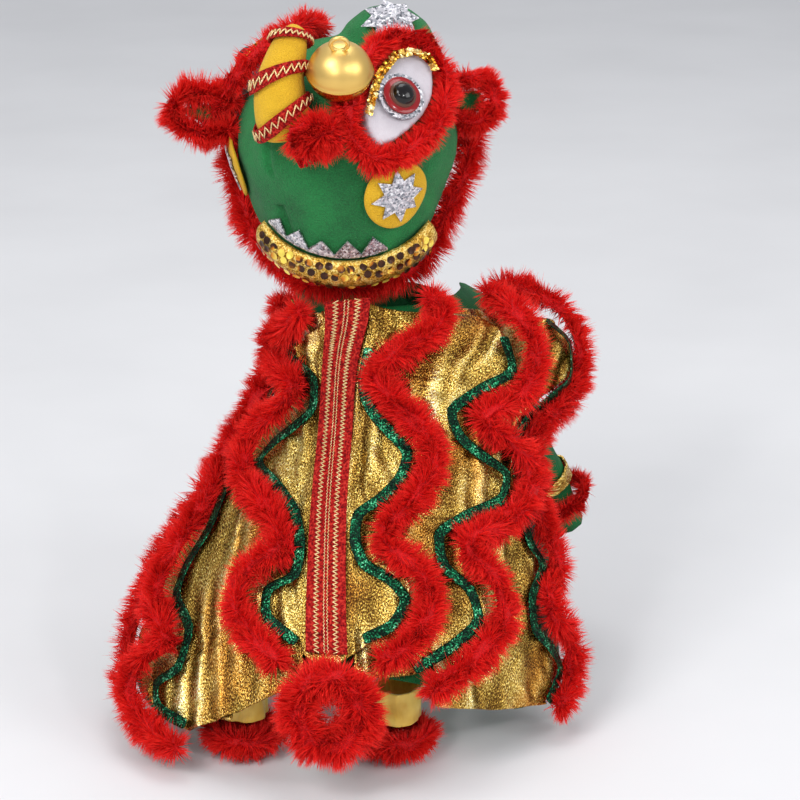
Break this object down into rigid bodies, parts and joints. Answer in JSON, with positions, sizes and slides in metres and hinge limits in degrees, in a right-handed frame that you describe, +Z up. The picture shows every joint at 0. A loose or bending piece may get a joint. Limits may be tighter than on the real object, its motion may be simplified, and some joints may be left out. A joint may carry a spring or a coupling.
{
  "type": "lion dance costume for a small pet",
  "caption": "Pet lion dance costume: plush lion-face hood, back cape of scalloped gold strips edged with red fur, braid, sleeves, leg cuffs and a fur tail loop.",
  "frame": {"origin": "centre of the neck ring of the cape, where the costume sits on the wearer", "axes": "+Z up, -Y the decorated back of the costume, +X to the right seen from behind"},
  "size_m": [0.2573, 0.2946, 0.3565],
  "materials": {
    "green_cloth": "smooth green lining cloth, lightly sheened",
    "gold_lame": "crinkled gold lame with small bright specks",
    "red_fur": "long red plush fur",
    "green_tape": "ribbed green metallic tape",
    "red_braid": "red woven braid with gold zigzag thread",
    "yellow_satin": "yellow satin",
    "green_plush": "short green plush",
    "silver_glitter": "silver glitter cloth",
    "gold_sequin": "gold sequins on cloth",
    "yellow_felt": "yellow felt",
    "bell_brass": "polished",
    "white_satin": "white satin",
    "eye_plastic": "glossy black dome on a dark red flange"
  },
  "bodies": {
    "root": {"cape_base": "green_cloth", "vest": "green_cloth", "sleeve_right": "green_cloth", "sleeve_left": "green_cloth", "panel_center": "gold_lame", "panel_right_1": "gold_lame", "panel_left_1": "gold_lame", "panel_right_2": "gold_lame", "panel_left_2": "gold_lame", "fur_center_right": "red_fur", "fur_center_left": "red_fur", "fur_right_1": "red_fur", "fur_left_1": "red_fur", "fur_right_2": "red_fur", "fur_left_2": "red_fur", "tape_center_right": "green_tape", "tape_center_left": "green_tape", "tape_right_1": "green_tape", "tape_left_1": "green_tape", "tape_right_2": "green_tape", "braid_band": "red_braid", "sleeve_cuff_right": "gold_lame", "sleeve_cuff_left": "gold_lame", "sleeve_fur_right": "red_fur", "sleeve_fur_left": "red_fur", "tail_fur": "red_fur", "rear_cuff_left": "yellow_satin", "rear_cuff_right": "yellow_satin", "rear_fur_left": "red_fur", "rear_fur_right": "red_fur", "hat_shell": "green_plush", "crown_star": "silver_glitter", "lip_band": "gold_sequin", "lip_tape": "green_tape", "teeth_strip": "silver_glitter", "cheek_disc_right": "yellow_felt", "cheek_disc_left": "yellow_felt", "cheek_star_right": "silver_glitter", "cheek_star_left": "silver_glitter", "horn": "yellow_felt", "horn_braid_1": "red_braid", "horn_braid_2": "red_braid", "horn_braid_3": "red_braid", "bell": "bell_brass", "ear_right": "green_plush", "ear_left": "green_plush", "ear_fur_right": "red_fur", "ear_fur_left": "red_fur", "eye_fur_right": "red_fur", "eye_fur_left": "red_fur", "eye_white_right": "white_satin", "eye_white_left": "white_satin", "eye_ring_right": "silver_glitter", "eye_ring_left": "silver_glitter", "eye_ball_right": "eye_plastic", "eye_ball_left": "eye_plastic", "eye_trim_right": "gold_sequin", "eye_trim_left": "gold_sequin", "nose_tuft": "red_fur", "hat_rim_fur": "red_fur"}
  },
  "joints": []
}
